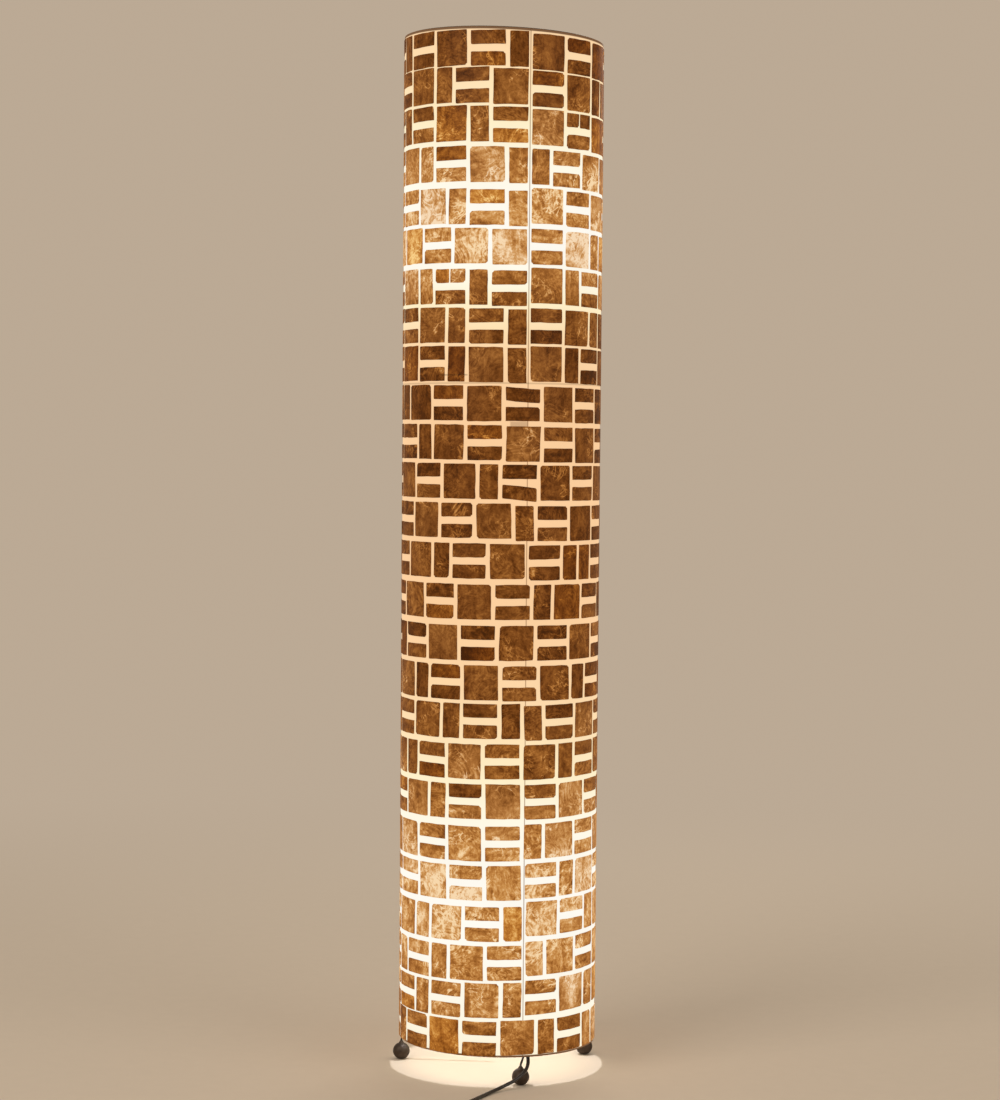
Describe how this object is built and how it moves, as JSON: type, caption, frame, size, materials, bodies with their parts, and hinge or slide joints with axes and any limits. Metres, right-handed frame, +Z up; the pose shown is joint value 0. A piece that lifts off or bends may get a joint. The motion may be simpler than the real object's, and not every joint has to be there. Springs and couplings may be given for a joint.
{
  "type": "column floor lamp",
  "caption": "Tall cylindrical floor lamp: glowing resin shade with glued square shell chips on a wire frame, ball feet, bulbs inside and a flat cord with switch.",
  "frame": {"origin": "on the floor, at the shade's axis", "axes": "+Z up along the shade's axis, -Y towards the front (the seam is 15 degrees right of it), +X right"},
  "size_m": [0.2994, 0.604, 1.5029],
  "materials": {
    "shell_chip": "polished capiz shell, back-lit",
    "resin_sheet": "translucent cast resin",
    "backing_tape": "matt",
    "black_wire": "satin",
    "black_ball": "rough, blackened",
    "steel": "zinc plated",
    "black_plastic": "phenolic",
    "porcelain": "glazed",
    "brass": "stamped",
    "bulb_metal": "spun",
    "black_glass": "vitrite with a solder tip",
    "bulb_glass": "frosted inside",
    "bulb_mount": "thin wire on a glass stem",
    "cord_black": "soft sheath",
    "case_black": "moulded",
    "pin_nickel": "nickel plated"
  },
  "bodies": {
    "lamp": {"bottom_ring": "black_wire", "cord_bushes": "black_plastic", "cord_relief_clamp": "steel", "cord_strain_relief": "cord_black", "foot_ball_front": "black_ball", "foot_ball_left": "black_ball", "foot_ball_right": "black_ball", "inner_supply_lead": "cord_black", "lock_nuts": "steel", "lower_holder_cap": "black_plastic", "lower_holder_contact": "brass", "lower_holder_core": "porcelain", "lower_holder_screw_shell": "brass", "lower_holder_skirt": "black_plastic", "lower_spider": "black_wire", "lower_stem": "steel", "middle_ring": "black_wire", "plug_body": "case_black", "plug_pins": "pin_nickel", "riser_clips": "black_plastic", "riser_lead": "cord_black", "seam_backing": "backing_tape", "shade_skin_lower": "resin_sheet", "shade_skin_upper": "resin_sheet", "shell_chips_01_04": "shell_chip", "shell_chips_05_08": "shell_chip", "shell_chips_09_12": "shell_chip", "shell_chips_13_16": "shell_chip", "shell_chips_17_20": "shell_chip", "shell_chips_21_24": "shell_chip", "shell_chips_25_26": "shell_chip", "supply_cord": "cord_black", "supply_cord_coil": "cord_black", "supply_cord_link": "cord_black", "supply_cord_tail": "cord_black", "switch_lower_shell": "case_black", "switch_screws": "steel", "switch_terminals": "brass", "switch_upper_shell": "case_black", "top_ring": "black_wire", "upper_holder_cap": "black_plastic", "upper_holder_contact": "brass", "upper_holder_core": "porcelain", "upper_holder_screw_shell": "brass", "upper_holder_skirt": "black_plastic", "upper_spider": "black_wire", "upper_stem": "steel", "upright_rod_front": "black_wire", "upright_rod_left": "black_wire", "upright_rod_right": "black_wire"},
    "rocker": {"switch_rocker": "case_black"},
    "lower_bulb_carrier": {"lower_bulb_tip": "black_glass"},
    "lower_bulb": {"lower_bulb_glass": "bulb_glass", "lower_bulb_cap": "bulb_metal", "lower_bulb_filament_mount": "bulb_mount"},
    "upper_bulb_carrier": {"upper_bulb_tip": "black_glass"},
    "upper_bulb": {"upper_bulb_glass": "bulb_glass", "upper_bulb_cap": "bulb_metal", "upper_bulb_filament_mount": "bulb_mount"}
  },
  "joints": [
    {"name": "switch_rocker", "type": "hinge", "parent": "lamp", "child": "rocker", "pos_m": [-0.07501, -0.37395, 0.013], "axis": [1, 0, 0], "range_deg": [0, 14]},
    {"name": "lower_bulb_lift", "type": "slide", "parent": "lamp", "child": "lower_bulb_carrier", "axis": [0, 0, 1], "range_m": [0, 0.0146]},
    {"name": "lower_bulb_turn", "type": "hinge", "parent": "lower_bulb_carrier", "child": "lower_bulb", "pos_m": [0, 0, 0.18], "axis": [0, 0, 1], "range_deg": [0, 1440]},
    {"name": "upper_bulb_lift", "type": "slide", "parent": "lamp", "child": "upper_bulb_carrier", "axis": [0, 0, 1], "range_m": [0, 0.0146]},
    {"name": "upper_bulb_turn", "type": "hinge", "parent": "upper_bulb_carrier", "child": "upper_bulb", "pos_m": [0, 0, 1.119], "axis": [0, 0, 1], "range_deg": [0, 1440]}
  ],
  "couplings": [
    {"joint": "lower_bulb_lift", "follows": "lower_bulb_turn", "m_per_rad": 0.00057757},
    {"joint": "upper_bulb_lift", "follows": "upper_bulb_turn", "m_per_rad": 0.00057757}
  ]
}
